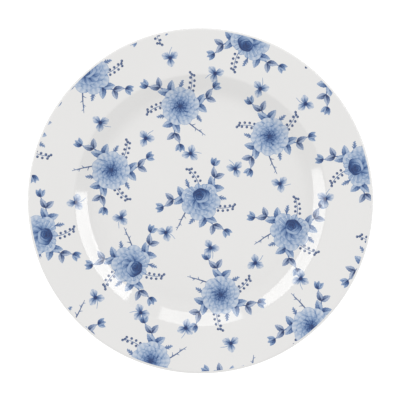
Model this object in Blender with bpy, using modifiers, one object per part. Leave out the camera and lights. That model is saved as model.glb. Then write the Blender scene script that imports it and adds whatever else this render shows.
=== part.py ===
"""Rimmed china dinner plate, 270 mm across and about 22 mm high.

The plate is built up in the order a pottery builds it: a fired clay body with its foot ring in one piece, a thin
coat of clear glaze over the face, lip and back, a second area of glaze inside the foot ring (the ring's bearing
face is wiped bare before firing, so the two areas never meet), and cobalt print on the face. The flowers of the
print are films of their own; the finer stems, leaves and berries between them have no thickness worth a solid.

Frame: metres, +Z up, the plate lies face up on its foot ring. Origin at the centre of the foot ring's bearing plane.
"""

import math

import bmesh
import bpy

# ---------------------------------------------------------------- driving dimensions, in millimetres and degrees
PLATE_R = 135.0          # outer radius, at the widest point of the lip
FLOOR_Z = 6.8            # top of the well floor above the table
BASE_THICK = 4.6         # well floor to the underside of the base
WELL_FLAT_R = 76.5       # the floor is flat to here
WALL_FOOT_R = 91.0       # the floor has turned up into the wall of the well here
WALL_TOP_R = 97.7        # the wall starts to turn over into the rim here
RIM_START_R = 100.4      # the rim is straight from here outwards
WALL_DEG = 34.0          # slope of the wall of the well
RIM_DEG_IN = 7.0         # slope of the rim at its inner edge
RIM_DEG_OUT = 8.5        # and at the lip
RIM_THICK = 3.8          # thickness at the lip, which is a full round
WALL_THICK = 4.4         # thickness under the wall of the well

FOOT_IN_R = 80.4         # inner and outer edges of the bare bearing face
FOOT_OUT_R = 83.2
FOOT_CHAMFER = 0.45
FOOT_TAPER = 1.25        # how much each side of the ring spreads before it meets the plate

GLAZE = 0.25             # thickness of the glaze coat
GAP = 0.15               # modelling gap between glaze and clay, which are fused on the real plate
GLAZE_LINE_Z = 0.9       # the glaze stops this far above the bearing face
STEPS = 48               # facets round the plate

INK_THICK = 0.08         # thickness of the printed films
INK_GAP = 0.28           # modelling gap from the glaze to a film, which is fired into it on the real plate
PRINT_EDGE_R = 130.5     # the sheet of print is trimmed off here, where the lip starts to turn over
ROSE_R = 15.8            # open rose, seen from the front
ROSE_WIDE = 15.6         # cabbage rose, seen from the side: half its width and half its height
ROSE_TALL = 16.6
TREFOIL_R = 5.8          # small three-petalled flower
FILM_CELL = 5.0          # films are cut to pieces no larger than this where they bend over the wall and the rim
FILM_CELL_VERGE = 1.9    # and this where the wall turns over into the rim

MM = 0.001
CLAY_INSET = GLAZE + GAP


# ---------------------------------------------------------------- section of the plate
def smooth(t):
    t = min(max(t, 0.0), 1.0)
    return t * t * (3.0 - 2.0 * t)


def slope_deg(r):
    """Slope of the face at radius r: flat floor, turned-up wall, then the rim."""
    if r <= WELL_FLAT_R:
        return 0.0
    if r <= WALL_FOOT_R:
        return WALL_DEG * smooth((r - WELL_FLAT_R) / (WALL_FOOT_R - WELL_FLAT_R))
    if r <= WALL_TOP_R:
        return WALL_DEG
    if r <= RIM_START_R:
        t = smooth((r - WALL_TOP_R) / (RIM_START_R - WALL_TOP_R))
        return WALL_DEG + (RIM_DEG_IN - WALL_DEG) * t
    t = (r - RIM_START_R) / (PLATE_R - RIM_START_R)
    return RIM_DEG_IN + (RIM_DEG_OUT - RIM_DEG_IN) * t


RISE_STEP = 0.05
RISE = [FLOOR_Z]
for k in range(int(PLATE_R / RISE_STEP) + 2):
    RISE.append(RISE[-1] + RISE_STEP * math.tan(math.radians(slope_deg((k + 0.5) * RISE_STEP))))


def face_z(r):
    """Height of the glazed face at radius r."""
    k = min(int(r / RISE_STEP), len(RISE) - 2)
    t = r / RISE_STEP - k
    return RISE[k] * (1 - t) + RISE[k + 1] * t


def under_face(r, depth):
    """The point this deep below the face, square to it, at the face's radius r."""
    a = math.radians(slope_deg(r))
    return r + depth * math.sin(a), face_z(r) - depth * math.cos(a)


LIP_R = RIM_THICK / 2
LIP_A = math.radians(RIM_DEG_OUT)
LIP_CENTRE_R = PLATE_R - LIP_R
LIP_FACE_R = LIP_CENTRE_R - LIP_R * math.sin(LIP_A)   # where the face runs into the lip's round
LIP_CENTRE_Z = face_z(LIP_FACE_R) - LIP_R * math.cos(LIP_A)

FACE_RADII = [WELL_FLAT_R, 80.0, 83.0, 85.7, 88.3, WALL_FOOT_R, WALL_TOP_R, 98.6, 99.5, RIM_START_R, 116.0]


def face_line(inset):
    """Centre of the floor out to the start of the lip."""
    return [(0.0, FLOOR_Z - inset)] + [under_face(r, inset) for r in FACE_RADII] + [under_face(LIP_FACE_R, inset)]


def lip_line(inset, pieces=6):
    """Round the lip, from face to back, without its two end points."""
    r = LIP_R - inset
    start = math.pi / 2 + LIP_A
    return [
        (LIP_CENTRE_R + r * math.cos(start - math.pi * k / pieces), LIP_CENTRE_Z + r * math.sin(start - math.pi * k / pieces))
        for k in range(1, pieces)
    ]


def back_thick(r):
    """Thickness of the plate under the face's radius r."""
    t = smooth((r - RIM_START_R) / (LIP_FACE_R - RIM_START_R))
    return WALL_THICK + (RIM_THICK - WALL_THICK) * t


def back_line(inset):
    """The back, from the lip down to just outside the foot ring."""
    radii = [LIP_FACE_R, 116.0, RIM_START_R, 98.9, WALL_TOP_R, WALL_FOOT_R, 86.0, 83.4]
    return [under_face(r, back_thick(r) - inset) for r in radii]


FOOT_TOP_OUT = (FOOT_OUT_R + FOOT_TAPER, 3.3)
BASE_Z = FLOOR_Z - BASE_THICK
FOOT_TOP_IN = (FOOT_IN_R - FOOT_TAPER, BASE_Z)


def foot_outside(z, inset):
    """Radius of the ring's outer side at height z."""
    t = z / FOOT_TOP_OUT[1]
    return FOOT_OUT_R + FOOT_CHAMFER * 0.4 + (FOOT_TOP_OUT[0] - FOOT_OUT_R) * t - inset


def foot_inside(z, inset):
    """Radius of the ring's inner side at height z."""
    t = z / FOOT_TOP_IN[1]
    return FOOT_IN_R - FOOT_CHAMFER * 0.4 + (FOOT_TOP_IN[0] - FOOT_IN_R) * t + inset


def clay_line():
    """Whole section of the clay body: face, lip, back, foot ring and base."""
    d = CLAY_INSET
    foot = [
        (foot_outside(3.0, d), 3.0 + d * 0.3),
        (foot_outside(FOOT_CHAMFER, d), FOOT_CHAMFER),
        (FOOT_OUT_R - d, 0.0),
        (FOOT_IN_R + d, 0.0),
        (foot_inside(FOOT_CHAMFER, d), FOOT_CHAMFER),
        (foot_inside(BASE_Z - 0.5, d), BASE_Z - 0.5 + d * 0.6),
        (FOOT_TOP_IN[0] - 0.8, BASE_Z + d),
    ]
    return face_line(d) + lip_line(d) + back_line(d) + foot + [(0.0, BASE_Z + d)]


def glaze_line():
    """The coat over face, lip and back: its outer surface down to the glaze line, then back along its inner surface."""
    z = GLAZE_LINE_Z
    outer = face_line(0.0) + lip_line(0.0) + back_line(0.0) + [(foot_outside(3.0, 0.0), 3.0), (foot_outside(z, 0.0), z)]
    inner = [(foot_outside(z, GLAZE), z), (foot_outside(3.0, GLAZE), 3.0 + GLAZE * 0.3)]
    inner += back_line(GLAZE)[::-1] + lip_line(GLAZE)[::-1] + face_line(GLAZE)[::-1]
    return outer + inner


def base_glaze_line():
    """The coat inside the foot ring: its upper surface out to the ring and down it, then back along its lower one."""
    z, g = GLAZE_LINE_Z, GLAZE
    upper = [
        (0.0, BASE_Z + g),
        (FOOT_TOP_IN[0] - 0.8, BASE_Z + g),
        (foot_inside(BASE_Z - 0.5, g), BASE_Z - 0.5 + g * 0.6),
        (foot_inside(z, g), z),
    ]
    lower = [(foot_inside(z, 0.0), z), (foot_inside(BASE_Z - 0.5, 0.0), BASE_Z - 0.5), (FOOT_TOP_IN[0] - 0.8, BASE_Z), (0.0, BASE_Z)]
    return upper + lower


# ---------------------------------------------------------------- Blender helpers
def clear_scene():
    for obj in list(bpy.data.objects):
        bpy.data.objects.remove(obj, do_unlink=True)


def principled(name, colour, roughness, coat=0.0):
    material = bpy.data.materials.new(name)
    material.use_nodes = True
    shader = material.node_tree.nodes["Principled BSDF"]
    shader.inputs["Base Color"].default_value = (*colour, 1.0)
    shader.inputs["Roughness"].default_value = roughness
    shader.inputs["Metallic"].default_value = 0.0
    shader.inputs["Coat Weight"].default_value = coat
    return material


def turned(name, section, material, collection):
    """A turned piece: a half section in the XZ plane, from the axis outwards and round, with a Screw modifier."""
    mesh = bpy.data.meshes.new(name)
    bm = bmesh.new()
    points = [bm.verts.new((x * MM, 0.0, z * MM)) for x, z in section]
    for a, b in zip(points, points[1:]):
        bm.edges.new((a, b))
    bm.to_mesh(mesh)
    bm.free()
    obj = bpy.data.objects.new(name, mesh)
    collection.objects.link(obj)
    screw = obj.modifiers.new("turn", "SCREW")
    screw.axis = "Z"
    screw.angle = 2 * math.pi
    screw.steps = screw.render_steps = STEPS
    screw.use_merge_vertices = True
    screw.merge_threshold = 0.00002
    screw.use_smooth_shade = True
    obj.data.materials.append(material)
    return obj


# ---------------------------------------------------------------- layout of the print
# The sheet is a plain half-drop repeat: large roses in upright columns, every other column dropped by half a step, with
# open and cabbage roses by turns and a small three-petalled flower on two of the lines between neighbours. The whole
# repeat is laid a little askew. Each placement is (x, y, turn in degrees); a cabbage rose adds half its width and height.
COLUMN = 64.0
DROP = 76.0
ASKEW = math.radians(12)


def on_sheet(u, v, deg, *size):
    return (u * math.cos(ASKEW) - v * math.sin(ASKEW), u * math.sin(ASKEW) + v * math.cos(ASKEW), deg) + size


OPEN_ROSES, CABBAGE_ROSES, TREFOILS = [], [], []
for i in range(-2, 3):
    for j in range(-2, 3):
        u, v = i * COLUMN, j * DROP + (i % 2) * DROP / 2
        turn = (50 * i + 80 * j) % 360
        if math.hypot(u, v) < PLATE_R - 3:
            if (i + j) % 2:
                OPEN_ROSES.append(on_sheet(u, v, turn))
            else:
                CABBAGE_ROSES.append(on_sheet(u, v, turn, ROSE_WIDE, ROSE_TALL))
        for du, dv in ((COLUMN / 2, DROP / 4), (0.0, DROP / 2)):
            if math.hypot(u + du, v + dv) < PRINT_EDGE_R - TREFOIL_R:
                TREFOILS.append(on_sheet(u + du, v + dv, (turn + 3 * du + 15) % 360))


def turn_and_place(x, y, placement):
    px, py, deg = placement[:3]
    c, s = math.cos(math.radians(deg)), math.sin(math.radians(deg))
    return px + c * x - s * y, py + s * x + c * y


def open_rose_outline(placement):
    """Nine shallow scallops round a circle."""
    out = []
    for k in range(27):
        a = 2 * math.pi * k / 27
        r = ROSE_R * (0.93 + 0.07 * abs(math.cos(4.5 * a)))
        out.append(turn_and_place(r * math.cos(a), r * math.sin(a), placement))
    return out


def cabbage_rose_outline(placement):
    """A full oval with a wavy edge, a little heavier below."""
    out = []
    for k in range(26):
        a = 2 * math.pi * k / 26
        wave = 0.96 + 0.04 * math.cos(6 * a + 0.6)
        out.append(turn_and_place(placement[3] * wave * math.cos(a), placement[4] * wave * math.sin(a) + 0.2, placement))
    return out


def trefoil_outline(placement):
    """Three round petals meeting in the middle."""
    out = []
    for k in range(18):
        a = 2 * math.pi * k / 18
        r = TREFOIL_R * (0.42 + 0.58 * abs(math.cos(1.5 * a)) ** 0.7)
        out.append(turn_and_place(r * math.cos(a), r * math.sin(a), placement))
    return out


def trim(outline, radius):
    """The outline cut back to the circle in which the sheet of print lies."""
    sides = 60
    for k in range(sides):
        a = 2 * math.pi * (k + 0.5) / sides
        nx, ny, d = math.cos(a), math.sin(a), radius * math.cos(math.pi / sides)
        kept = []
        for (ax, ay), (bx, by) in zip(outline, outline[1:] + outline[:1]):
            da, db = ax * nx + ay * ny - d, bx * nx + by * ny - d
            if da <= 0:
                kept.append((ax, ay))
            if (da < 0) != (db < 0):
                t = da / (da - db)
                kept.append((ax + (bx - ax) * t, ay + (by - ay) * t))
        outline = kept
        if len(outline) < 3:
            return []
    clean = []
    for p in outline:
        if not clean or math.dist(p, clean[-1]) > 0.25:
            clean.append(p)
    if math.dist(clean[0], clean[-1]) <= 0.25:
        clean.pop()
    return clean if len(clean) > 2 else []


def area(outline):
    return 0.5 * sum(ax * by - bx * ay for (ax, ay), (bx, by) in zip(outline, outline[1:] + outline[:1]))


def inside(p, outline):
    hit = False
    for (ax, ay), (bx, by) in zip(outline, outline[1:] + outline[:1]):
        if (ay > p[1]) != (by > p[1]) and p[0] < ax + (p[1] - ay) / (by - ay) * (bx - ax):
            hit = not hit
    return hit


def side_distance(p, a, b):
    t = ((p[0] - a[0]) * (b[0] - a[0]) + (p[1] - a[1]) * (b[1] - a[1])) / max(math.dist(a, b) ** 2, 1e-9)
    t = min(max(t, 0.0), 1.0)
    return math.dist(p, (a[0] + t * (b[0] - a[0]), a[1] + t * (b[1] - a[1])))


def clear_of(outline, others, gap=0.45):
    for other in others:
        if any(inside(p, other) for p in outline) or any(inside(p, outline) for p in other):
            return False
        for one, two in ((outline, other), (other, outline)):
            for p in one:
                if any(side_distance(p, a, b) < gap for a, b in zip(two, two[1:] + two[:1])):
                    return False
    return True


def lay_out():
    """Each flower's name and outline, roses first; one that would run into a flower already laid is left out."""
    wanted = [("open_rose_print", open_rose_outline(p)) for p in OPEN_ROSES]
    wanted += [("cabbage_rose_print", cabbage_rose_outline(p)) for p in CABBAGE_ROSES]
    wanted += [("trefoil_print", trefoil_outline(p)) for p in TREFOILS]
    laid, count = [], {}
    for kind, outline in wanted:
        outline = trim(outline, PRINT_EDGE_R)
        if outline and area(outline) > 4.0 and clear_of(outline, [o for _, o in laid]):
            count[kind] = count.get(kind, 0) + 1
            laid.append((f"{kind}_{count[kind]:02d}", outline))
    return laid


GLAZE_SECTION = face_line(0.0)


def faceted_face_z(x, y):
    """Height of the faceted glaze over (x, y)."""
    step = 2 * math.pi / STEPS
    a = math.atan2(y, x) % step - step / 2
    r = math.hypot(x, y) * math.cos(a) / math.cos(step / 2)
    for (ra, za), (rb, zb) in zip(GLAZE_SECTION, GLAZE_SECTION[1:]):
        if ra <= r <= rb:
            return za + (zb - za) * (r - ra) / (rb - ra)
    return GLAZE_SECTION[-1][1]


def cut_up(bm, cell, r_from, r_to):
    """Cuts the faces that lie partly between two radii along a square grid."""
    reach = int(PLATE_R / cell) + 1
    for axis in range(2):
        normal = [0.0, 0.0, 0.0]
        normal[axis] = 1.0
        for k in range(-reach, reach + 1):
            at = [0.0, 0.0, 0.0]
            at[axis] = (k + 0.5) * cell * MM
            bent = []
            for f in bm.faces:
                radii = [v.co.xy.length for v in f.verts]
                if max(radii) > r_from * MM and min(radii) < r_to * MM:
                    bent.append(f)
            geometry = list({e for f in bent for e in f.edges} | {v for f in bent for v in f.verts}) + bent
            if geometry:
                bmesh.ops.bisect_plane(bm, geom=geometry, dist=0.00002, plane_co=at, plane_no=normal)


def film(name, outline, material, collection):
    """One printed film: a flat outline filled as a 2D curve, cut up where the face bends, then laid over the face."""
    curve = bpy.data.curves.new(name, "CURVE")
    curve.dimensions = "2D"
    curve.fill_mode = "BOTH"
    curve.extrude = 0.5 * INK_THICK * MM
    spline = curve.splines.new("POLY")
    spline.points.add(len(outline) - 1)
    for point, (x, y) in zip(spline.points, outline):
        point.co = (x * MM, y * MM, 0.0, 1.0)
    spline.use_cyclic_u = True
    flat = bpy.data.objects.new(name + "_outline", curve)
    bpy.context.scene.collection.objects.link(flat)
    bpy.context.view_layer.update()
    evaluated = flat.evaluated_get(bpy.context.evaluated_depsgraph_get())
    mesh = bpy.data.meshes.new_from_object(evaluated)
    mesh.name = name
    bpy.data.objects.remove(flat, do_unlink=True)

    bm = bmesh.new()
    bm.from_mesh(mesh)
    bmesh.ops.remove_doubles(bm, verts=bm.verts, dist=0.00001)
    cut_up(bm, FILM_CELL, WELL_FLAT_R - 2.0, PLATE_R)
    cut_up(bm, FILM_CELL_VERGE, WALL_TOP_R - 3.0, RIM_START_R + 2.0)
    bmesh.ops.triangulate(bm, faces=bm.faces)
    for v in bm.verts:
        top = INK_THICK if v.co.z > 0 else 0.0
        v.co.z = (faceted_face_z(v.co.x / MM, v.co.y / MM) + INK_GAP + top) * MM
    bmesh.ops.recalc_face_normals(bm, faces=bm.faces)
    bm.to_mesh(mesh)
    bm.free()
    obj = bpy.data.objects.new(name, mesh)
    collection.objects.link(obj)
    obj.data.materials.clear()
    obj.data.materials.append(material)
    return obj


# ---------------------------------------------------------------- the plate
clear_scene()
plate = bpy.data.collections.new("dinner_plate")
bpy.context.scene.collection.children.link(plate)

clay = principled("fired_clay", (0.80, 0.78, 0.74), 0.85)
glaze = principled("clear_glaze", (0.82, 0.82, 0.81), 0.12, coat=1.0)

turned("clay_body", clay_line(), clay, plate)
turned("glaze_coat", glaze_line(), glaze, plate)
turned("base_glaze", base_glaze_line(), glaze, plate)

ink_rose = principled("cobalt_ink", (0.12, 0.18, 0.38), 0.12, coat=1.0)
ink_sprig = principled("cobalt_ink_sprig", (0.18, 0.26, 0.45), 0.12, coat=1.0)

for name, outline in lay_out():
    film(name, outline, ink_sprig if name.startswith("trefoil") else ink_rose, plate)
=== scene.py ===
"""Looks of the rimmed china dinner plate: glazed body, bare foot ring, and a cobalt floral print over the whole face.

The plate's section is the same as the CAD part's, turned far finer. The print is drawn as strengths of ink on a flat
sheet, then every spray and flower of it becomes a thin closed film laid over the face.
"""
import math

import bmesh
import bpy
import numpy as np
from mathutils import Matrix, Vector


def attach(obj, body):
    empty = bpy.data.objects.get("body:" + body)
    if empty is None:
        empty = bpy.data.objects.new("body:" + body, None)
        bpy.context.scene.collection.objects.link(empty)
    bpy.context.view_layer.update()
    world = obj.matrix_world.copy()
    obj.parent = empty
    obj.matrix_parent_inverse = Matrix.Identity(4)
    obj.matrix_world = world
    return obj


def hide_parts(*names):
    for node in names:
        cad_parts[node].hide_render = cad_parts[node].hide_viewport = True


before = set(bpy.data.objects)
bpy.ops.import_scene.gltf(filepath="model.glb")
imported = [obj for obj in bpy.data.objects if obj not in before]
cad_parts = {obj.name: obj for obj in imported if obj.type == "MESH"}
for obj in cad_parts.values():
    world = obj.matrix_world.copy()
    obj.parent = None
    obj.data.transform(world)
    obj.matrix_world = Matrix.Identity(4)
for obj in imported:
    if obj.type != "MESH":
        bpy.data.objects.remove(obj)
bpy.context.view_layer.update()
MM = 0.001

# ---------------------------------------------------------------- section of the plate, in millimetres and degrees
PLATE_R = 135.0
FLOOR_Z = 6.8
BASE_THICK = 4.6
WELL_FLAT_R, WALL_FOOT_R, WALL_TOP_R, RIM_START_R = 76.5, 91.0, 97.7, 100.4
WALL_DEG, RIM_DEG_IN, RIM_DEG_OUT = 34.0, 7.0, 8.5
RIM_THICK, WALL_THICK = 3.8, 4.4
FOOT_IN_R, FOOT_OUT_R, FOOT_CHAMFER, FOOT_TAPER = 80.4, 83.2, 0.45, 1.25
GLAZE = 0.25
CLAY_INSET = 0.27        # the clay starts right under the glaze
GLAZE_LINE_Z = 0.9
TURN_STEPS = 320


def smooth(t):
    t = min(max(t, 0.0), 1.0)
    return t * t * (3.0 - 2.0 * t)


def slope_deg(r):
    if r <= WELL_FLAT_R:
        return 0.0
    if r <= WALL_FOOT_R:
        return WALL_DEG * smooth((r - WELL_FLAT_R) / (WALL_FOOT_R - WELL_FLAT_R))
    if r <= WALL_TOP_R:
        return WALL_DEG
    if r <= RIM_START_R:
        return WALL_DEG + (RIM_DEG_IN - WALL_DEG) * smooth((r - WALL_TOP_R) / (RIM_START_R - WALL_TOP_R))
    return RIM_DEG_IN + (RIM_DEG_OUT - RIM_DEG_IN) * (r - RIM_START_R) / (PLATE_R - RIM_START_R)


RISE_STEP = 0.05
TABLE_R = np.arange(int(PLATE_R / RISE_STEP) + 3) * RISE_STEP
TABLE_SLOPE = np.radians([slope_deg(r) for r in TABLE_R])
TABLE_Z = FLOOR_Z + np.concatenate([[0.0], np.cumsum(RISE_STEP * np.tan(0.5 * (TABLE_SLOPE[1:] + TABLE_SLOPE[:-1])))])


def face_z(r):
    return np.interp(r, TABLE_R, TABLE_Z)


def face_slope(r):
    return np.interp(r, TABLE_R, TABLE_SLOPE)


def under_face(r, depth):
    a = float(face_slope(r))
    return r + depth * math.sin(a), float(face_z(r)) - depth * math.cos(a)


LIP_R = RIM_THICK / 2
LIP_A = math.radians(RIM_DEG_OUT)
LIP_CENTRE_R = PLATE_R - LIP_R
LIP_FACE_R = LIP_CENTRE_R - LIP_R * math.sin(LIP_A)
LIP_CENTRE_Z = float(face_z(LIP_FACE_R)) - LIP_R * math.cos(LIP_A)


def spread(a, b, step):
    n = max(1, int(round((b - a) / step)))
    return [a + (b - a) * k / n for k in range(n)]


def face_line(inset, fine=1.0):
    radii = spread(6.0, 74.0, 8.0 * fine) + spread(74.0, 102.0, 0.4 * fine) + spread(102.0, LIP_FACE_R, 2.6 * fine)
    return [(0.0, FLOOR_Z - inset)] + [under_face(r, inset) for r in radii] + [under_face(LIP_FACE_R, inset)]


def lip_line(inset, pieces=26):
    r = LIP_R - inset
    start = math.pi / 2 + LIP_A
    return [(LIP_CENTRE_R + r * math.cos(start - math.pi * k / pieces), LIP_CENTRE_Z + r * math.sin(start - math.pi * k / pieces))
            for k in range(1, pieces)]


def back_thick(r):
    return WALL_THICK + (RIM_THICK - WALL_THICK) * smooth((r - RIM_START_R) / (LIP_FACE_R - RIM_START_R))


def back_line(inset, fine=1.0):
    n = 12
    radii = [LIP_FACE_R + (103.0 - LIP_FACE_R) * k / n for k in range(n)]
    m = int(28 / fine)
    radii += [103.0 + (84.0 - 103.0) * k / m for k in range(m + 1)]
    line = [under_face(r, back_thick(r) - inset) for r in radii]
    kept = [line[0]]
    for p in line[1:]:
        if p[0] < kept[-1][0] - 0.05:
            kept.append(p)
    return [p for p in kept if p[0] > FOOT_OUT_R + FOOT_TAPER + 1.7 - inset]


BASE_Z = FLOOR_Z - BASE_THICK
FOOT_TOP_OUT = (FOOT_OUT_R + FOOT_TAPER, 3.3)
FOOT_TOP_IN = (FOOT_IN_R - FOOT_TAPER, BASE_Z)


def foot_outside(z, inset):
    return FOOT_OUT_R + FOOT_CHAMFER * 0.4 + (FOOT_TOP_OUT[0] - FOOT_OUT_R) * z / FOOT_TOP_OUT[1] - inset


def foot_inside(z, inset):
    return FOOT_IN_R - FOOT_CHAMFER * 0.4 + (FOOT_TOP_IN[0] - FOOT_IN_R) * z / FOOT_TOP_IN[1] + inset


def bend(a, b, c, n=5):
    """A rounded corner from a to c, pulled towards b, without its end points."""
    out = []
    for k in range(1, n):
        t = k / n
        out.append(tuple((1 - t) ** 2 * p + 2 * t * (1 - t) * q + t * t * r for p, q, r in zip(a, b, c)))
    return out


def foot_corner_out(inset):
    """From the back into the outer side of the foot ring."""
    last = back_line(inset)[-1]
    top = (foot_outside(2.3, inset), 2.3)
    corner = (foot_outside(3.0, inset), 3.0 + inset * 0.3)
    return bend(last, corner, top, 6) + [top]


def foot_corner_in(g):
    """From the inner side of the foot ring into the base, g above its lower surface."""
    side = (foot_inside(1.5, g), 1.5)
    corner = (foot_inside(BASE_Z, g), BASE_Z + g)
    base = (FOOT_TOP_IN[0] - 1.4, BASE_Z + g)
    return [side] + bend(side, corner, base, 6) + [base]


def clay_line():
    d = CLAY_INSET
    lip = lip_line(d, 12)
    a, b = (foot_outside(FOOT_CHAMFER, d), FOOT_CHAMFER), (FOOT_OUT_R - d, 0.0)
    c, e = (FOOT_IN_R + d, 0.0), (foot_inside(FOOT_CHAMFER, d), FOOT_CHAMFER)
    foot = [a] + bend(a, (foot_outside(0.0, d), 0.0), b) + [b, c] + bend(c, (foot_inside(0.0, d), 0.0), e) + [e]
    return face_line(d, 2.0) + lip + back_line(d, 2.0) + foot_corner_out(d) + foot + foot_corner_in(d) + [(0.0, BASE_Z + d)]


def glaze_line():
    """Outer surface of the coat down to its rounded edge on the foot ring, then back along its inner surface."""
    z = GLAZE_LINE_Z
    edge = [(foot_outside(z + 0.12, 0.0), z + 0.12), (foot_outside(z + 0.03, 0.05), z + 0.03), (foot_outside(z, GLAZE * 0.55), z), (foot_outside(z, GLAZE), z)]
    outer = face_line(0.0) + lip_line(0.0) + back_line(0.0) + foot_corner_out(0.0) + edge
    inner = foot_corner_out(GLAZE)[::-1] + back_line(GLAZE, 2.0)[::-1] + lip_line(GLAZE, 12)[::-1] + face_line(GLAZE, 2.0)[::-1]
    return outer + inner


def base_glaze_line():
    z, g = GLAZE_LINE_Z, GLAZE
    edge = [(foot_inside(z, g), z), (foot_inside(z, g * 0.45), z), (foot_inside(z + 0.03, 0.05), z + 0.03), (foot_inside(z + 0.12, 0.0), z + 0.12)]
    return [(0.0, BASE_Z + g)] + foot_corner_in(g)[::-1] + edge + foot_corner_in(0.0) + [(0.0, BASE_Z)]


def new_mesh(name, verts, quads, tris=()):
    """A mesh from arrays of corners, four-cornered faces and three-cornered faces."""
    quads = np.asarray(quads, np.int64).reshape(-1, 4)
    tris = np.asarray(tris, np.int64).reshape(-1, 3)
    me = bpy.data.meshes.new(name)
    me.vertices.add(len(verts))
    me.vertices.foreach_set("co", np.asarray(verts, np.float32).ravel())
    loops = np.concatenate([quads.ravel(), tris.ravel()]).astype(np.int32)
    me.loops.add(len(loops))
    me.loops.foreach_set("vertex_index", loops)
    me.polygons.add(len(quads) + len(tris))
    start = np.concatenate([np.arange(len(quads)) * 4, len(quads) * 4 + np.arange(len(tris)) * 3]).astype(np.int32)
    me.polygons.foreach_set("loop_start", start)
    me.update(calc_edges=True)
    me.validate()
    return me


def turned(name, section, sharp=35.0):
    """A turned piece from a half section that starts and ends on the axis."""
    body = np.array(section[1:-1])
    a = 2 * math.pi * np.arange(TURN_STEPS) / TURN_STEPS
    ring = np.stack([body[:, None, 0] * np.cos(a), body[:, None, 0] * np.sin(a), np.repeat(body[:, None, 1], TURN_STEPS, 1)], -1)
    verts = np.concatenate([ring.reshape(-1, 3), [[0, 0, section[0][1]], [0, 0, section[-1][1]]]]) * MM
    n, m = TURN_STEPS, len(body)
    k = np.arange(n)
    nxt = (k + 1) % n
    rows = np.arange(m - 1)[:, None] * n
    quads = np.stack([rows + k, rows + n + k, rows + n + nxt, rows + nxt], -1).reshape(-1, 4)
    first, last = m * n, m * n + 1
    tris = np.concatenate([np.stack([np.full(n, first), k, nxt], -1), np.stack([(m - 1) * n + nxt, (m - 1) * n + k, np.full(n, last)], -1)])
    me = new_mesh(name, verts, quads, tris)
    me.shade_smooth()
    me.set_sharp_from_angle(angle=math.radians(sharp))
    ob = bpy.data.objects.new(name, me)
    bpy.context.scene.collection.objects.link(ob)
    return ob


# ---------------------------------------------------------------- the print: drawing tools
# The print is drawn on a square sheet of 401 units, laid centrally over the face. Motifs are laid one over another like
# washes of ink: each covers what is under it by its own coverage. `ink` holds the strength of the cobalt, 0 to 1.
UNIT = 0.7803            # millimetres in one unit of the sheet
SHEET_CENTRE = (200.5, 200.6)
CELL = 0.24              # spacing of the grid on which the ink is worked out, millimetres
HALF = 133.2             # the grid reaches this far each way
N = int(round(2 * HALF / CELL)) + 1
PRINT_EDGE_R = 133.0     # the sheet is trimmed off here, on the lip

ink = np.zeros((N, N), np.float32)
owner = np.zeros((N, N), np.int16)       # which spray each inked cell belongs to
covered = np.zeros((N, N), np.float32)
tone = np.zeros((N, N), np.float32)         # how slaty the ink is, 0 to 1
rng = np.random.default_rng(7)


def smoothstep(a, b, x):
    t = np.clip((x - a) / (b - a), 0.0, 1.0)
    return t * t * (3 - 2 * t)


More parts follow.
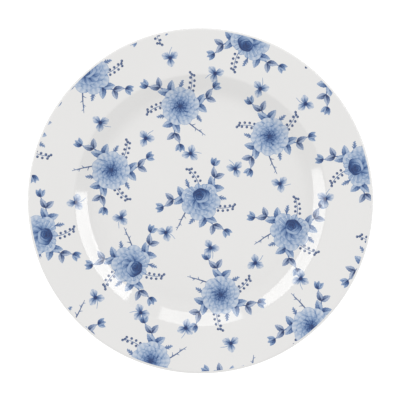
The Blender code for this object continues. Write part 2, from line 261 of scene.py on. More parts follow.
class Spray:
    """Lays motifs drawn round one point of the sheet at another point, turned, mirrored or paler."""

    def __init__(self, number, drawn_at, laid_at, turn=0.0, mirror=False, fade=1.0, scale=1.0):
        self.number, self.frm, self.fade, self.s, self.slate = number, drawn_at, fade, UNIT * scale, 0.0
        self.cx = (laid_at[0] - SHEET_CENTRE[0]) * UNIT
        self.cy = (SHEET_CENTRE[1] - laid_at[1]) * UNIT
        c, s = math.cos(math.radians(turn)), math.sin(math.radians(turn))
        self.m = np.array([[c, -s], [s, c]]) @ np.diag([-1.0 if mirror else 1.0, 1.0])

    def local(self, p):
        """Sheet coordinates to units from the point the spray is drawn round, y upwards."""
        p = np.asarray(p, float)
        return np.stack([p[..., 0] - self.frm[0], self.frm[1] - p[..., 1]], -1)

    def window(self, lo, hi):
        """The part of the grid over a box of local units, with each cell's local coordinates."""
        corners = np.array([[lo[0], lo[1]], [lo[0], hi[1]], [hi[0], lo[1]], [hi[0], hi[1]]]) @ self.m.T * self.s
        corners += (self.cx, self.cy)
        i0, j0 = np.floor((corners.min(0) + HALF) / CELL).astype(int) - 1
        i1, j1 = np.ceil((corners.max(0) + HALF) / CELL).astype(int) + 2
        i0, j0, i1, j1 = max(i0, 0), max(j0, 0), min(i1, N), min(j1, N)
        if i0 >= i1 or j0 >= j1:
            return None
        x = (np.arange(i0, i1) * CELL - HALF - self.cx)[None, :]
        y = (np.arange(j0, j1) * CELL - HALF - self.cy)[:, None]
        inv = np.linalg.inv(self.m) / self.s
        return (slice(j0, j1), slice(i0, i1)), inv[0, 0] * x + inv[0, 1] * y, inv[1, 0] * x + inv[1, 1] * y

    def lay(self, where, alpha, strength):
        alpha = np.clip(alpha, 0, 1).astype(np.float32)
        strength = np.clip(strength, 0, 1.05) * self.fade
        ink[where] = ink[where] * (1 - alpha) + strength * alpha
        mark = alpha > 0.02
        owner[where][mark] = self.number
        covered[where] = np.maximum(covered[where], alpha)
        tone[where] = tone[where] * (1 - alpha) + self.slate * alpha

    # -- one wash each
    def stroke(self, points, w=1.0, w1=None, d=0.7, cover=1.0, step=4):
        w1 = w if w1 is None else w1
        self.slate = 0.0
        if self.number < 100:
            w, w1, d = w * 1.06, w1 * 1.06, min(d + 0.08, 1.0)
            self.slate = 0.55 if w < 1.3 else 0.25
        p = self.local(points)
        ext = np.vstack([2 * p[0] - p[1], p, 2 * p[-1] - p[-2]])
        out = []
        for a, b, c, e in zip(ext, ext[1:], ext[2:], ext[3:]):
            for t in np.arange(step) / step:
                out.append(0.5 * (2 * b + (c - a) * t + (2 * a - 5 * b + 4 * c - e) * t * t + (3 * b - a - 3 * c + e) * t ** 3))
        q = np.array(out + [p[-1]])
        half = np.linspace(w, w1, len(q)) / 2
        m = half.max() + 1.0
        win = self.window(q.min(0) - m, q.max(0) + m)
        if win is None:
            return
        where, lx, ly = win
        aa = CELL / self.s
        alpha = np.zeros(lx.shape)
        for (a, b, ha, hb) in zip(q, q[1:], half, half[1:]):
            near = (lx > min(a[0], b[0]) - m) & (lx < max(a[0], b[0]) + m) & (ly > min(a[1], b[1]) - m) & (ly < max(a[1], b[1]) + m)
            if not near.any():
                continue
            px, py = lx[near] - a[0], ly[near] - a[1]
            dx, dy = b - a
            t = np.clip((px * dx + py * dy) / max(dx * dx + dy * dy, 1e-9), 0, 1)
            dist = np.hypot(px - t * dx, py - t * dy)
            alpha[near] = np.maximum(alpha[near], np.clip((ha + (hb - ha) * t - dist) / aa + 0.5, 0, 1))
        self.lay(where, alpha * cover, d)
        self.slate = 0.0

    def leaf(self, base, tip, w, left=0.72, right=0.34, bend=0.0, serrate=0.05, vein=0.46):
        b, t = self.local([base, tip])
        axis = t - b
        length = math.hypot(*axis)
        ux, uy = axis / length
        m = w * 0.7 + abs(bend) * length + 1
        win = self.window(np.minimum(b, t) - m, np.maximum(b, t) + m)
        if win is None:
            return
        where, lx, ly = win
        px, py = lx - b[0], ly - b[1]
        u = (px * ux + py * uy) / length
        uc = np.clip(u, 0, 1)
        v = -px * uy + py * ux - bend * length * 4 * uc * (1 - uc)
        prof = w / 2 * 2.745 * uc ** 0.6 * (1 - uc) ** 0.9
        teeth = 1 + serrate * (np.abs((uc * length * 0.36) % 1.0 - 0.5) * 4 - 1)
        edge = np.where((u > 0) & (u < 1), prof * teeth - np.abs(v), -1)
        aa = CELL / self.s
        dark = 1 / (1 + np.exp(-v / 0.35))
        d = 0.86 * (right + (left - right) * dark)
        d = d * (1.36 - 0.92 * uc) + 0.30 * np.exp(-((uc - 0.16) / 0.16) ** 2 - (v / (0.16 * w)) ** 2)
        d += vein * np.exp(-(v / 0.40) ** 2) * (1 - uc) ** 0.6
        d += 0.06 * np.sin((uc * length - np.abs(v) * 0.9) * 2.3 + length) * (1 - np.exp(-(v / 0.5) ** 2)) * (0.5 + 0.5 * uc)
        d += 0.22 * np.exp(-((edge - 0.3) / 0.40) ** 2)
        soft = np.clip(edge / (aa * 2.2) + 0.3, 0, 1)
        self.slate = 0.26 + 0.2 * math.sin(length * 7.3 + w)
        self.lay(where, soft, d)
        self.slate = 0.0

    def petal(self, root, angle, length, w, d_in=0.85, d_out=0.15, outline=0.0, streaks=0.12, power=1.2, blunt=0.62, cover=1.0, soft=1.6):
        """A petal from its root outwards: dark at the root, paler to a blunt tip, with fine streaks along it."""
        b = self.local(root)
        a = math.radians(angle)
        ux, uy = math.cos(a), math.sin(a)
        tip = b + np.array([ux, uy]) * length
        m = w * 0.7 + 1
        win = self.window(np.minimum(b, tip) - m, np.maximum(b, tip) + m)
        if win is None:
            return
        where, lx, ly = win
        px, py = lx - b[0], ly - b[1]
        u = (px * ux + py * uy) / length
        uc = np.clip(u, 0, 1)
        v = -px * uy + py * ux
        prof = w / 2 * np.minimum(1, 1.5 * uc ** 0.6) * np.sqrt(np.clip(1 - (np.clip(uc - blunt, 0, 1) / (1 - blunt)) ** 2, 0, 1))
        edge = np.where((u > 0) & (u < 1), prof * (1 + 0.04 * np.sin(v * 3 + angle)) - np.abs(v), -1)
        edge = np.minimum(edge, (1 - u) * length)
        aa = CELL / self.s
        d = d_out + (d_in - d_out) * (1 - uc) ** power
        d += streaks * np.sin(v / w * 20 + angle) * (1 - uc) ** 0.5
        d += outline * np.exp(-(edge / 0.42) ** 2)
        self.lay(where, np.clip(edge / (aa * soft) + 0.4, 0, 1) * cover, d)

    def fan(self, root, angle, length, w, d_in=0.85, d_out=0.2, lobes=2.0, cut=0.13, outline=0.25, streaks=0.2, power=1.2, cover=1.0, soft=1.3):
        """A petal that widens from its root to a lobed edge, with streaks fanning out along it."""
        b = self.local(root)
        a = math.radians(angle)
        ux, uy = math.cos(a), math.sin(a)
        tip = b + np.array([ux, uy]) * length
        m = w * 0.75 + 1
        win = self.window(np.minimum(b, tip) - m, np.maximum(b, tip) + m)
        if win is None:
            return
        where, lx, ly = win
        px, py = lx - b[0], ly - b[1]
        u = (px * ux + py * uy) / length
        v = -px * uy + py * ux
        s = np.clip(v / (w / 2), -1.4, 1.4)
        end = 1.0 - 0.36 * np.abs(s) ** 2.2 - cut * (0.5 - 0.5 * np.cos(s * math.pi * lobes + 0.6 * math.sin(angle)))
        uc = np.clip(u / np.maximum(end, 0.05), 0, 1)
        prof = w / 2 * np.minimum(1.0, 0.12 + 1.35 * np.clip(u, 0, 1) ** 0.8) * np.sqrt(np.clip(1 - (np.clip(u - 0.55, 0, 1) / 0.5) ** 2, 0, 1))
        edge = np.minimum(prof - np.abs(v), (end - u) * length)
        edge = np.where(u > 0, edge, -1)
        ray = v / np.maximum(0.25 + u, 0.2)
        d = d_out + (d_in - d_out) * (1 - uc) ** power
        d += streaks * np.sin(ray * 11.0 / w + angle) * np.sin(ray * 27.0 / w + 2 * angle) * (0.35 + 0.65 * uc)
        d += outline * np.exp(-((edge - 0.28) / 0.32) ** 2)
        aa = CELL / self.s
        self.lay(where, np.clip(edge / (aa * soft) + 0.5, 0, 1) * cover, np.maximum(d, 0.0))

    def blob(self, c, rx, ry, rot=0.0, d0=0.3, d1=0.3, to=270.0, ruffle=0.0, lobes=6, phase=0.0, outline=0.0, line=0.45, streaks=0.0, soft=1.3, cover=1.0):
        """A rounded petal seen from above: strength runs from d0 to d1 towards one side; the edge may be wavy and outlined."""
        b = self.local(c)
        m = max(rx, ry) * (1 + ruffle) + 1
        win = self.window(b - m, b + m)
        if win is None:
            return
        where, lx, ly = win
        a = math.radians(rot)
        px, py = lx - b[0], ly - b[1]
        p = (px * math.cos(a) + py * math.sin(a)) / rx
        q = (-px * math.sin(a) + py * math.cos(a)) / ry
        th = np.arctan2(q, p)
        rho = np.hypot(p, q) / (1 + ruffle * np.sin(lobes * th + phase))
        edge = (1 - rho) * min(rx, ry)
        g = math.radians(to)
        along = np.clip(0.5 + 0.5 * (px * math.cos(g) / rx + py * math.sin(g) / ry), 0, 1)
        d = d0 + (d1 - d0) * along * along * (3 - 2 * along)
        d += streaks * np.sin(th * 16 + phase) * rho
        d += outline * np.exp(-(edge / line) ** 2)
        aa = CELL / self.s
        self.lay(where, np.clip(edge / (aa * soft) + 0.5, 0, 1) * cover, d)

    # -- small things
    def berries(self, places, r=1.25, d=0.72):
        for c in places:
            self.slate = 0.65
            self.blob(c, r * 0.96, r * 0.94, rot=40, d0=d * 0.72, d1=d * 1.25, to=300, outline=0.24, line=0.35)
        self.slate = 0.0

    def berry_sprig(self, stem, places, r=1.25, w=0.55, d=0.5):
        """A thin curved stem with berries beside it, each on a short stalk from the nearest point of the stem."""
        self.stroke(stem, w * 1.15, w * 0.8, d)
        pts = np.array(stem, float)
        fine = np.vstack([pts[i] + (pts[i + 1] - pts[i]) * t for i in range(len(pts) - 1) for t in (0, 0.33, 0.66)] + [pts[-1:]])
        for c in places:
            n = fine[np.argmin(((fine - c) ** 2).sum(1))]
            if math.dist(n, c) > r * 1.2:
                self.stroke([n, (np.array(n) + c) / 2 + (0.15, -0.1), c], 0.42, 0.42, d * 0.75, cover=0.8)
        self.berries(places, r, d + 0.2)

    def trefoil(self, c, tail, size=1.0, d=0.8, tail_len=11.0, open_out=0.14, flip=False):
        """Three soft petals from one dark point, and a fine curved tail. `tail` is the tail's direction."""
        x, y = c
        self.number += 200
        if tail_len:
            a = math.radians(tail)
            b = math.radians(tail + (14 if flip else -14))
            ex, ey = x + math.cos(b) * tail_len * size, y - math.sin(b) * tail_len * size
            mx, my = x + math.cos(a) * tail_len * size * 0.5, y - math.sin(a) * tail_len * size * 0.5
            self.stroke([(x, y), (mx, my), (ex, ey)], 0.95, 0.5, d * 0.55, cover=0.85)
        for turn, length, w, blunt in ((60, 9.0, 8.6, 0.60), (180, 9.0, 8.6, 0.60), (-60, 9.0, 8.6, 0.60)):
            turn = -turn if flip else turn
            self.slate = 0.2
            if blunt > 0.5:
                self.fan(c, tail + turn, length * size, w * size, d * 1.0, open_out, lobes=1.0, cut=0.14, outline=0.13, streaks=0.20, power=1.35, soft=3.0)
            else:
                self.petal(c, tail + turn, length * size, w * size, d * 0.95, open_out, outline=0.13, streaks=0.13, power=1.25, blunt=blunt, soft=2.8)
            a = math.radians(tail + turn)
            self.stroke([c, (x + 2.4 * size * math.cos(a), y - 2.4 * size * math.sin(a)), (x + 5.4 * size * math.cos(a), y - 5.4 * size * math.sin(a))], 2.3 * size, 0.5, min(d * 1.0, 1.0), cover=0.62)
        self.blob(c, 1.7 * size, 1.7 * size, d0=min(d * 1.25, 1.0), d1=min(d * 1.25, 1.0), soft=3)
        self.slate = 0.0
        self.number -= 200

    def bud(self, foot, tip, w=4.6, d=0.75):
        """A closed bud: a round dark body, with pale petals and a little open crown at the tip."""
        f, t = np.array(foot, float), np.array(tip, float)
        ax = t - f
        ln = math.hypot(*ax)
        ux, uy = ax / ln
        deg = math.degrees(math.atan2(-uy, ux))
        mid = f + ax * 0.38
        self.petal(f, deg, ln * 0.86, w * 0.7, d * 0.6, 0.12, outline=0.25, power=0.8)
        self.blob(mid, ln * 0.40, w * 0.5, rot=deg, d0=d, d1=d * 0.35, to=deg, outline=0.18)
        for side in (-1, 1):
            e = t + np.array([-uy, ux]) * side * w * 0.30
            s0 = f + ax * 0.62 + np.array([-uy, ux]) * side * w * 0.34
            self.stroke([s0, (s0 + e) / 2, e], 0.6, 0.3, d * 0.6)

    def fern(self, foot, tip, w=3.6, d=0.72, n=4):
        """A small feathery frond: a short rib with curled side shoots."""
        f, t = np.array(foot, float), np.array(tip, float)
        ax = t - f
        ln = math.hypot(*ax)
        u = ax / ln
        v = np.array([-u[1], u[0]])
        self.stroke([f, f + ax * 0.5 + v * 0.25, t], 1.1, 0.4, d)
        for k in range(n):
            s = (k + 0.6) / (n + 0.4)
            side = 1 if k % 2 else -1
            a = f + ax * s
            e = a + (u * 0.55 + v * side * 0.8) * w * (1.05 - 0.55 * s)
            self.stroke([a, (a + e) / 2 + u * 0.3, e], 0.9, 0.35, d * (0.95 - 0.35 * s))

    def feather(self, foot, tip, w=5.0, d=0.74):
        """A deeply cut small leaf: a dark rib with pointed side lobes that grow shorter towards the tip."""
        f, t = np.array(foot, float), np.array(tip, float)
        ax = t - f
        ln = math.hypot(*ax)
        u = ax / ln
        v = np.array([-u[1], u[0]])
        self.leaf(f, t, w * 0.62, d * 0.95, d * 0.62, serrate=0.25, vein=0.3)
        for k in range(6):
            s = 0.14 + 0.13 * k
            side = 1 if k % 2 else -1
            a = f + ax * s
            e = a + (u * 0.95 + v * side * 0.72) * w * (0.92 - 0.75 * s)
            self.stroke([a, (a + e) / 2 + u * 0.15, e], 1.35, 0.45, d * (0.98 - 0.3 * s))

    def thorn(self, points, d=0.5, w=0.7):
        self.stroke(points, w, w * 0.5, d)


# ---------------------------------------------------------------- the print: flowers


def polar_of(c, r, deg):
    return c[0] + r * math.cos(math.radians(deg)), c[1] - r * math.sin(math.radians(deg))


def open_rose(s, c):
    """Rings of petals, fewer and darker towards the middle, each ring turned by half a petal from the last."""
    s.number += 100
    for ring, (count, reach, wide, dark, pale) in enumerate(((9, 19.6, 12.6, 0.74, 0.16), (7, 14.8, 10.8, 0.86, 0.22), (6, 10.4, 8.4, 0.95, 0.34), (5, 6.2, 5.6, 1.0, 0.56))):
        for k in range(count):
            s.petal(c, 360 * (k + 0.5 * (ring % 2)) / count + 11 * ring, reach, wide * 1.18, dark, pale, outline=0.40, streaks=0.16)
    s.blob(c, 2.2, 2.2, d0=1.0, d1=0.9)
    s.number -= 100


def cabbage_rose(s, c):
    """A full head seen from the side: rows of cupped petals, and a closed heart of turned petals set high in it."""
    s.number += 100
    for row, (count, spread, reach, wide, dark, pale) in enumerate(((6, 250, 20.2, 14.4, 0.80, 0.18), (5, 190, 16.4, 13.0, 0.90, 0.24), (4, 130, 12.6, 11.4, 0.96, 0.30))):
        root = (c[0], c[1] - 1.5 * row)
        for k in range(count):
            s.petal(root, 270 - spread / 2 + spread * k / (count - 1), reach, wide * 1.1, dark, pale, outline=0.40, streaks=0.16)
    for k in range(5):
        s.fan((c[0], c[1] - 2.0), 30 + 30 * k, 15.6, 11.0, 0.88, 0.26, lobes=1.0, cut=0.10, outline=0.30, streaks=0.20)
    heart = (c[0], c[1] - 4.6)
    for turn in range(5):
        s.blob(polar_of(heart, 1.1 * (4 - turn) * 0.5, 72 * turn), 8.2 - 1.55 * turn, 7.4 - 1.4 * turn, d0=0.95, d1=0.30 + 0.11 * turn, outline=0.4, ruffle=0.05, lobes=5, phase=0.9 * turn)
    s.number -= 100


# ---------------------------------------------------------------- the print: the repeat
# The same half-drop repeat as the CAD films: everything between the flowers is worked out from the repeat's own lines.
COLUMN, DROP, ASKEW = 64.0, 76.0, math.radians(12)


def on_sheet(u, v):
    """Millimetres of the repeat to the sheet's units."""
    x, y = u * math.cos(ASKEW) - v * math.sin(ASKEW), u * math.sin(ASKEW) + v * math.cos(ASKEW)
    return SHEET_CENTRE[0] + x / UNIT, SHEET_CENTRE[1] - y / UNIT


def spray(s, c):
    """Three stems curling out from under a rose, with paired leaves, a fern and a sprig of berries."""
    for arm in range(3):
        away = 30 + 120 * arm
        line = [polar_of(c, 12 + 5.2 * k, away + 5.5 * k) for k in range(6)]
        s.stroke(line, 1.3, 0.6, 0.62)
        for k in (1, 3, 5):
            for side in (-1, 1):
                foot, lean = line[k], away + 5.5 * k + side * (52 - 4 * k)
                s.leaf(foot, polar_of(foot, 13.6 - 1.0 * k, lean), 8.2 - 0.7 * k, 0.78, 0.40)
        s.leaf(line[5], polar_of(line[5], 8.5, away + 30), 4.6, 0.80, 0.42)
        side_stem = [polar_of(c, 15 + 4.6 * k, away + 52 + 4 * k) for k in range(5)]
        s.stroke(side_stem, 0.8, 0.45, 0.56)
        if arm % 2:
            s.fern(side_stem[1], polar_of(side_stem[4], 5, away + 74), 4.2, 0.70)
        else:
            s.berries([polar_of(p, 2.6, away + 52 + side) for p in side_stem[1:] for side in (-75, 75)] + [side_stem[4]], 1.35, 0.72)
        s.feather(polar_of(c, 17, away - 30), polar_of(c, 27, away - 38), 4.2, 0.66)


roses, small = [], []
for i in range(-3, 4):
    for j in range(-3, 4):
        u, v = i * COLUMN, j * DROP + (i % 2) * DROP / 2
        turn = (50 * i + 80 * j) % 360
        if math.hypot(u, v) < 160:
            roses.append((on_sheet(u, v), turn, (i + j) % 2, math.hypot(u, v) < 132))
        for du, dv in ((COLUMN / 2, DROP / 4), (0.0, DROP / 2)):
            if math.hypot(u + du, v + dv) < 124.7:
                small.append((on_sheet(u + du, v + dv), turn + 3 * du + 15))
for number, (c, turn, kind, whole) in enumerate(roses, 1):
    spray(Spray(number, c, c, turn=turn + 12, fade=0.95), c)
for number, (c, turn, kind, whole) in enumerate(roses, 1):
    if whole:
        (open_rose if kind else cabbage_rose)(Spray(number, c, c, turn=turn + 12, fade=0.95), c)
for number, (c, turn) in enumerate(small, len(roses) + 1):
    Spray(number, c, c).trefoil(c, turn, 1.0, 0.84, flip=bool(number % 2))


# ---------------------------------------------------------------- the print: films
FILM_TOP, FILM_UNDER = 0.03, 0.02     # the films stand this far out of the glaze and reach this far into it
EDGE = 0.3                            # coverage at which a film ends

axis_mm = np.arange(N) * CELL - HALF
reach = np.hypot(axis_mm[None, :], axis_mm[:, None])
field = np.minimum(covered, np.clip(EDGE + (PRINT_EDGE_R - reach) / CELL, 0, 1))
own = np.where(field > EDGE, owner, 0).astype(np.int32)
strength = ink.copy()


def join_corners():
    """Where two cells of one film touch only at a corner, a third cell joins them, so that every film is a clean solid."""
    for _ in range(40):
        changed = 0
        for (pa, pb, pc) in (((0, 0), (1, 1), (0, 1)), ((0, 1), (1, 0), (0, 0))):
            def view(arr, p):
                return arr[p[0]:N - 1 + p[0], p[1]:N - 1 + p[1]]
            pd = (1 - pc[0], 1 - pc[1])
            a, b, c, d = (view(own, p) for p in (pa, pb, pc, pd))
            hit = (a > 0) & (a == b) & (c != a) & (d != a)
            if hit.any():
                changed += int(hit.sum())
                bare = hit & (c == 0)
                mean = 0.5 * (view(strength, pa) + view(strength, pb))
                view(strength, pc)[bare] = mean[bare]
                c[hit] = a[hit]
        if not changed:
            return


join_corners()


def corners(arr, pad=0.0):
    """The four cells round each corner of the grid, as four arrays one larger than the grid."""
    big = np.pad(arr, 1, constant_values=pad)
    return big[:-1, :-1], big[:-1, 1:], big[1:, :-1], big[1:, 1:]


f00, f01, f10, f11 = corners(field.astype(np.float64))
gx = 0.5 * (f01 + f11 - f00 - f10)
gy = 0.5 * (f10 + f11 - f00 - f01)
mid = 0.25 * (f00 + f01 + f10 + f11)
g2 = np.maximum(gx * gx + gy * gy, 1e-6)
open_corner = sum((c == 0).astype(int) for c in corners(own)) > 0
step = np.where(open_corner & (g2 > 0.01), (EDGE - mid) / g2, 0.0)
length = np.abs(step) * np.sqrt(g2)
step = np.where(length > 0.55, step * 0.55 / np.maximum(length, 1e-9), step)
corner_axis = (np.arange(N + 1) - 0.5) * CELL - HALF
corner_x = corner_axis[None, :] + step * gx * CELL
corner_y = corner_axis[:, None] + step * gy * CELL
inked = [(c > 0).astype(float) for c in corners(own)]
corner_ink = sum(w * s for w, s in zip(inked, corners(strength.astype(np.float64)))) / np.maximum(sum(inked), 1.0)
corner_tone = sum(w * s for w, s in zip(inked, corners(tone.astype(np.float64)))) / np.maximum(sum(inked), 1.0)


def film(name, number):
    """The closed film of every cell that belongs to one motif."""
    rows, cols = np.nonzero(own == number)
    if len(rows) < 6:
        return None
    wide = N + 1
    p00 = rows * wide + cols
    quads = np.stack([p00, p00 + 1, p00 + wide + 1, p00 + wide], -1)
    used, back = np.unique(quads, return_inverse=True)
    top = back.reshape(-1, 4)
    count = len(used)
    x, y = corner_x.ravel()[used], corner_y.ravel()[used]
    r = np.hypot(x, y)
    slope = face_slope(r)
    z = face_z(r)
    ux, uy = x / np.maximum(r, 1e-6), y / np.maximum(r, 1e-6)

    def lifted(h):
        return np.stack([x - ux * h * np.sin(slope), y - uy * h * np.sin(slope), z + h * np.cos(slope)], -1)

    verts = np.concatenate([lifted(FILM_TOP), lifted(-FILM_UNDER)]) * MM
    padded = np.pad(own, 1)
    walls = []
    for (dr, dc), (s, e) in (((-1, 0), (0, 1)), ((0, 1), (1, 2)), ((1, 0), (2, 3)), ((0, -1), (3, 0))):
        edge = padded[rows + 1 + dr, cols + 1 + dc] != number
        p, q = top[edge, s], top[edge, e]
        walls.append(np.stack([p + count, q + count, q, p], -1))
    me = new_mesh(name, verts, np.concatenate([top, top[:, ::-1] + count] + walls))
    for called, source in (("ink", corner_ink), ("tone", corner_tone)):
        value = source.ravel()[used].astype(np.float32)
        attribute = me.attributes.new(called, "FLOAT", "POINT")
        attribute.data.foreach_set("value", np.concatenate([value, value]))
    me.shade_smooth()
    me.set_sharp_from_angle(angle=math.radians(50))
    ob = bpy.data.objects.new(name, me)
    bpy.context.scene.collection.objects.link(ob)
    return ob


# ---------------------------------------------------------------- materials
def shader(name):
    m = bpy.data.materials.new(name)
    m.use_nodes = True
    return m, m.node_tree, m.node_tree.nodes["Principled BSDF"]


def node(tree, kind, **values):
    n = tree.nodes.new(kind)
    for key, value in values.items():
        if key in n.inputs:
            n.inputs[key].default_value = value
        else:
            setattr(n, key, value)
    return n


def ramp(tree, stops):
    n = tree.nodes.new("ShaderNodeValToRGB")
    r = n.color_ramp
    while len(r.elements) > 1:
        r.elements.remove(r.elements[-1])
    r.elements[0].position, r.elements[0].color = stops[0][0], (*stops[0][1], 1)
    for at, colour in stops[1:]:
        r.elements.new(at).color = (*colour, 1)
    return n


def glazed(bsdf):
    """The finish shared by the bare glaze and the print under it."""
    bsdf.inputs["Roughness"].default_value = 0.07
    bsdf.inputs["IOR"].default_value = 1.52
    bsdf.inputs["Coat Weight"].default_value = 0.25
    bsdf.inputs["Coat Roughness"].default_value = 0.04
    bsdf.inputs["Coat IOR"].default_value = 1.5


def glaze_material(name, light, dark):
    m, tree, bsdf = shader(name)
    place = node(tree, "ShaderNodeTexCoord")
    cloud = node(tree, "ShaderNodeTexNoise", Scale=14.0, Detail=3.0, Roughness=0.5)
    tree.links.new(place.outputs["Object"], cloud.inputs["Vector"])
    speck = node(tree, "ShaderNodeTexNoise", Scale=520.0, Detail=1.0)
    tree.links.new(place.outputs["Object"], speck.inputs["Vector"])
    tint = ramp(tree, [(0.30, dark), (0.70, light)])
    tree.links.new(cloud.outputs["Fac"], tint.inputs["Fac"])
    dots = ramp(tree, [(0.0, (0.90, 0.89, 0.87)), (0.20, (1, 1, 1))])
    tree.links.new(speck.outputs["Fac"], dots.inputs["Fac"])
    mix = node(tree, "ShaderNodeMix", data_type="RGBA", blend_type="MULTIPLY")
    mix.inputs[0].default_value = 1.0
    tree.links.new(tint.outputs["Color"], mix.inputs[6])
    tree.links.new(dots.outputs["Color"], mix.inputs[7])
    tree.links.new(mix.outputs[2], bsdf.inputs["Base Color"])
    glazed(bsdf)
    return m


def clay_material():
    m, tree, bsdf = shader("fired_clay")
    place = node(tree, "ShaderNodeTexCoord")
    grain = node(tree, "ShaderNodeTexNoise", Scale=900.0, Detail=4.0)
    tree.links.new(place.outputs["Object"], grain.inputs["Vector"])
    tint = ramp(tree, [(0.3, (0.60, 0.56, 0.50)), (0.6, (0.74, 0.71, 0.66))])
    tree.links.new(grain.outputs["Fac"], tint.inputs["Fac"])
    tree.links.new(tint.outputs["Color"], bsdf.inputs["Base Color"])
    relief = node(tree, "ShaderNodeBump", Strength=0.25, Distance=0.00008)
    tree.links.new(grain.outputs["Fac"], relief.inputs["Height"])
    tree.links.new(relief.outputs["Normal"], bsdf.inputs["Normal"])
    bsdf.inputs["Roughness"].default_value = 0.85
    return m


PAPER = (0.770, 0.765, 0.755)
SLATE = [(0.0, PAPER), (0.12, (0.61, 0.62, 0.67)), (0.30, (0.42, 0.44, 0.535)), (0.50, (0.22, 0.25, 0.355)), (0.75, (0.058, 0.082, 0.165)), (1.0, (0.008, 0.020, 0.062))]


def ink_material(name, stops):
    """Cobalt under glaze: the colour follows the strength of the ink drawn for each motif, slightly uneven as transfer prints are."""
    m, tree, bsdf = shader(name)
    drawn = node(tree, "ShaderNodeAttribute", attribute_name="ink")
    place = node(tree, "ShaderNodeTexCoord")
    mottle = node(tree, "ShaderNodeTexNoise", Scale=900.0, Detail=2.0, Roughness=0.6)
    tree.links.new(place.outputs["Object"], mottle.inputs["Vector"])
    uneven = node(tree, "ShaderNodeMapRange")
    uneven.inputs["From Min"].default_value = 0.3
    uneven.inputs["From Max"].default_value = 0.7
    uneven.inputs["To Min"].default_value = 0.90
    uneven.inputs["To Max"].default_value = 1.08
    tree.links.new(mottle.outputs["Fac"], uneven.inputs["Value"])
    product = node(tree, "ShaderNodeMath", operation="MULTIPLY")
    tree.links.new(drawn.outputs["Fac"], product.inputs[0])
    tree.links.new(uneven.outputs["Result"], product.inputs[1])
    colour, slate = ramp(tree, stops), ramp(tree, SLATE)
    slaty = node(tree, "ShaderNodeAttribute", attribute_name="tone")
    mix = node(tree, "ShaderNodeMix", data_type="RGBA")
    tree.links.new(product.outputs["Value"], colour.inputs["Fac"])
    tree.links.new(product.outputs["Value"], slate.inputs["Fac"])
    tree.links.new(slaty.outputs["Fac"], mix.inputs[0])
    tree.links.new(colour.outputs["Color"], mix.inputs[6])
    tree.links.new(slate.outputs["Color"], mix.inputs[7])
    tree.links.new(mix.outputs[2], bsdf.inputs["Base Color"])
    glazed(bsdf)
    return m


glaze = glaze_material("clear_glaze", (0.783, 0.777, 0.768), (0.770, 0.764, 0.755))
base_coat = glaze_material("clear_glaze_base", (0.765, 0.758, 0.745), (0.745, 0.738, 0.722))
clay = clay_material()
COBALT = [(0.0, PAPER), (0.12, (0.585, 0.635, 0.71)), (0.30, (0.350, 0.445, 0.600)), (0.50, (0.158, 0.255, 0.45)), (0.75, (0.014, 0.072, 0.235)), (1.0, (0.0, 0.016, 0.105))]
rose_ink = ink_material("cobalt_rose", COBALT)
sprig_ink = ink_material("cobalt_sprig", COBALT)

# ---------------------------------------------------------------- the pieces
for name, section, material, slot in (("clay_body", clay_line(), clay, "fired_clay"), ("glaze_coat", glaze_line(), glaze, "clear_glaze"),
                                      ("base_glaze", base_glaze_line(), base_coat, "clear_glaze")):
    piece = turned("china_" + name, section)
    piece.data.materials.append(material)
    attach(piece, "root")
    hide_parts(name)

for number in [int(v) for v in np.unique(own) if v > 0]:
    kind = "flower" if 100 < number < 200 else "trefoil" if number > 200 else "sprigs"
    piece = film(f"print_{kind}_{number:03d}", number)
    if piece is None:
        continue
    piece.data.materials.append(rose_ink if kind == "flower" else sprig_ink)
    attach(piece, "root")

for name in sorted(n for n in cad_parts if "_print_" in n):
    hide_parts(name)

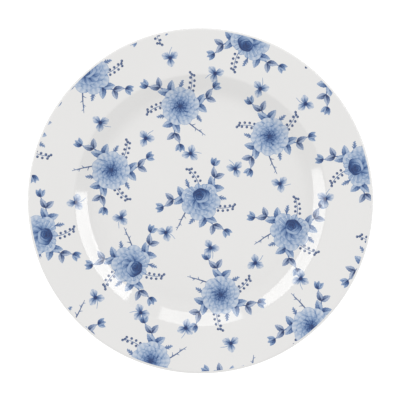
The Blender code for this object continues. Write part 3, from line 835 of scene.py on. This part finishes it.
# ---------------------------------------------------------------- floor, light and camera
WORLD, FLOOR_GLOW, POWER_R, POWER_B, POWER_L = 0.885, 0.93, 2.75, 1.15, 3.2
floor_mesh = bpy.data.meshes.new("floor")
bm = bmesh.new()
bmesh.ops.create_grid(bm, x_segments=2, y_segments=2, size=4.0)
bm.to_mesh(floor_mesh)
bm.free()
floor = bpy.data.objects.new("floor", floor_mesh)
floor.location.z = -0.0001
bpy.context.scene.collection.objects.link(floor)
m, tree, bsdf = shader("pale_floor")
bsdf.inputs["Base Color"].default_value = (0.35, 0.35, 0.35, 1)
bsdf.inputs["Roughness"].default_value = 1.0
bsdf.inputs["Specular IOR Level"].default_value = 0.0
bsdf.inputs["Emission Color"].default_value = (1, 1, 1, 1)
bsdf.inputs["Emission Strength"].default_value = FLOOR_GLOW
floor_mesh.materials.append(m)

world = bpy.data.worlds.new("studio")
world.use_nodes = True
world.node_tree.nodes["Background"].inputs["Color"].default_value = (1, 1, 1, 1)
world.node_tree.nodes["Background"].inputs["Strength"].default_value = WORLD
bpy.context.scene.world = world


def softbox(name, azimuth, tilt, wide, high, power, distance=1.5):
    """A rectangular light facing the plate, at this compass direction from +X and tilt from straight above."""
    light = bpy.data.lights.new(name, "AREA")
    light.shape = "RECTANGLE"
    light.size, light.size_y = wide, high
    light.energy = power
    ob = bpy.data.objects.new(name, light)
    a, t = math.radians(azimuth), math.radians(tilt)
    ob.location = (distance * math.sin(t) * math.cos(a), distance * math.sin(t) * math.sin(a), distance * math.cos(t))
    ob.rotation_euler = (t, 0, a + math.pi / 2)
    bpy.context.scene.collection.objects.link(ob)
    ob.visible_camera = False
    return ob


def width_of(spread_deg, tilt, distance=1.5):
    return 2 * distance * math.sin(math.radians(tilt)) * math.tan(math.radians(spread_deg / 2))


TILT, HIGH = 59.2, 0.16
softbox("softbox_right", 24.5, TILT, width_of(57, TILT), HIGH, POWER_R)
softbox("softbox_back", 90.0, TILT, width_of(40, TILT), HIGH, POWER_B)
softbox("softbox_left", 157.5, TILT, width_of(75, TILT), HIGH, POWER_L)

LENS = 150.0
camera = bpy.data.cameras.new("camera")
camera.lens = LENS
camera.sensor_width = 36.0
camera.clip_end = 20.0
cam = bpy.data.objects.new("camera", camera)
RADIUS_PX, FRAME_PX = 172.9, 401.0
height = PLATE_R * LENS * FRAME_PX / (36.0 * RADIUS_PX)
cam.location = (0.0, 0.2 * PLATE_R / RADIUS_PX * MM, (height + LIP_CENTRE_Z) * MM)
bpy.context.scene.collection.objects.link(cam)
bpy.context.scene.camera = cam

bpy.context.scene.view_settings.view_transform = "Standard"
bpy.context.scene.view_settings.look = "None"
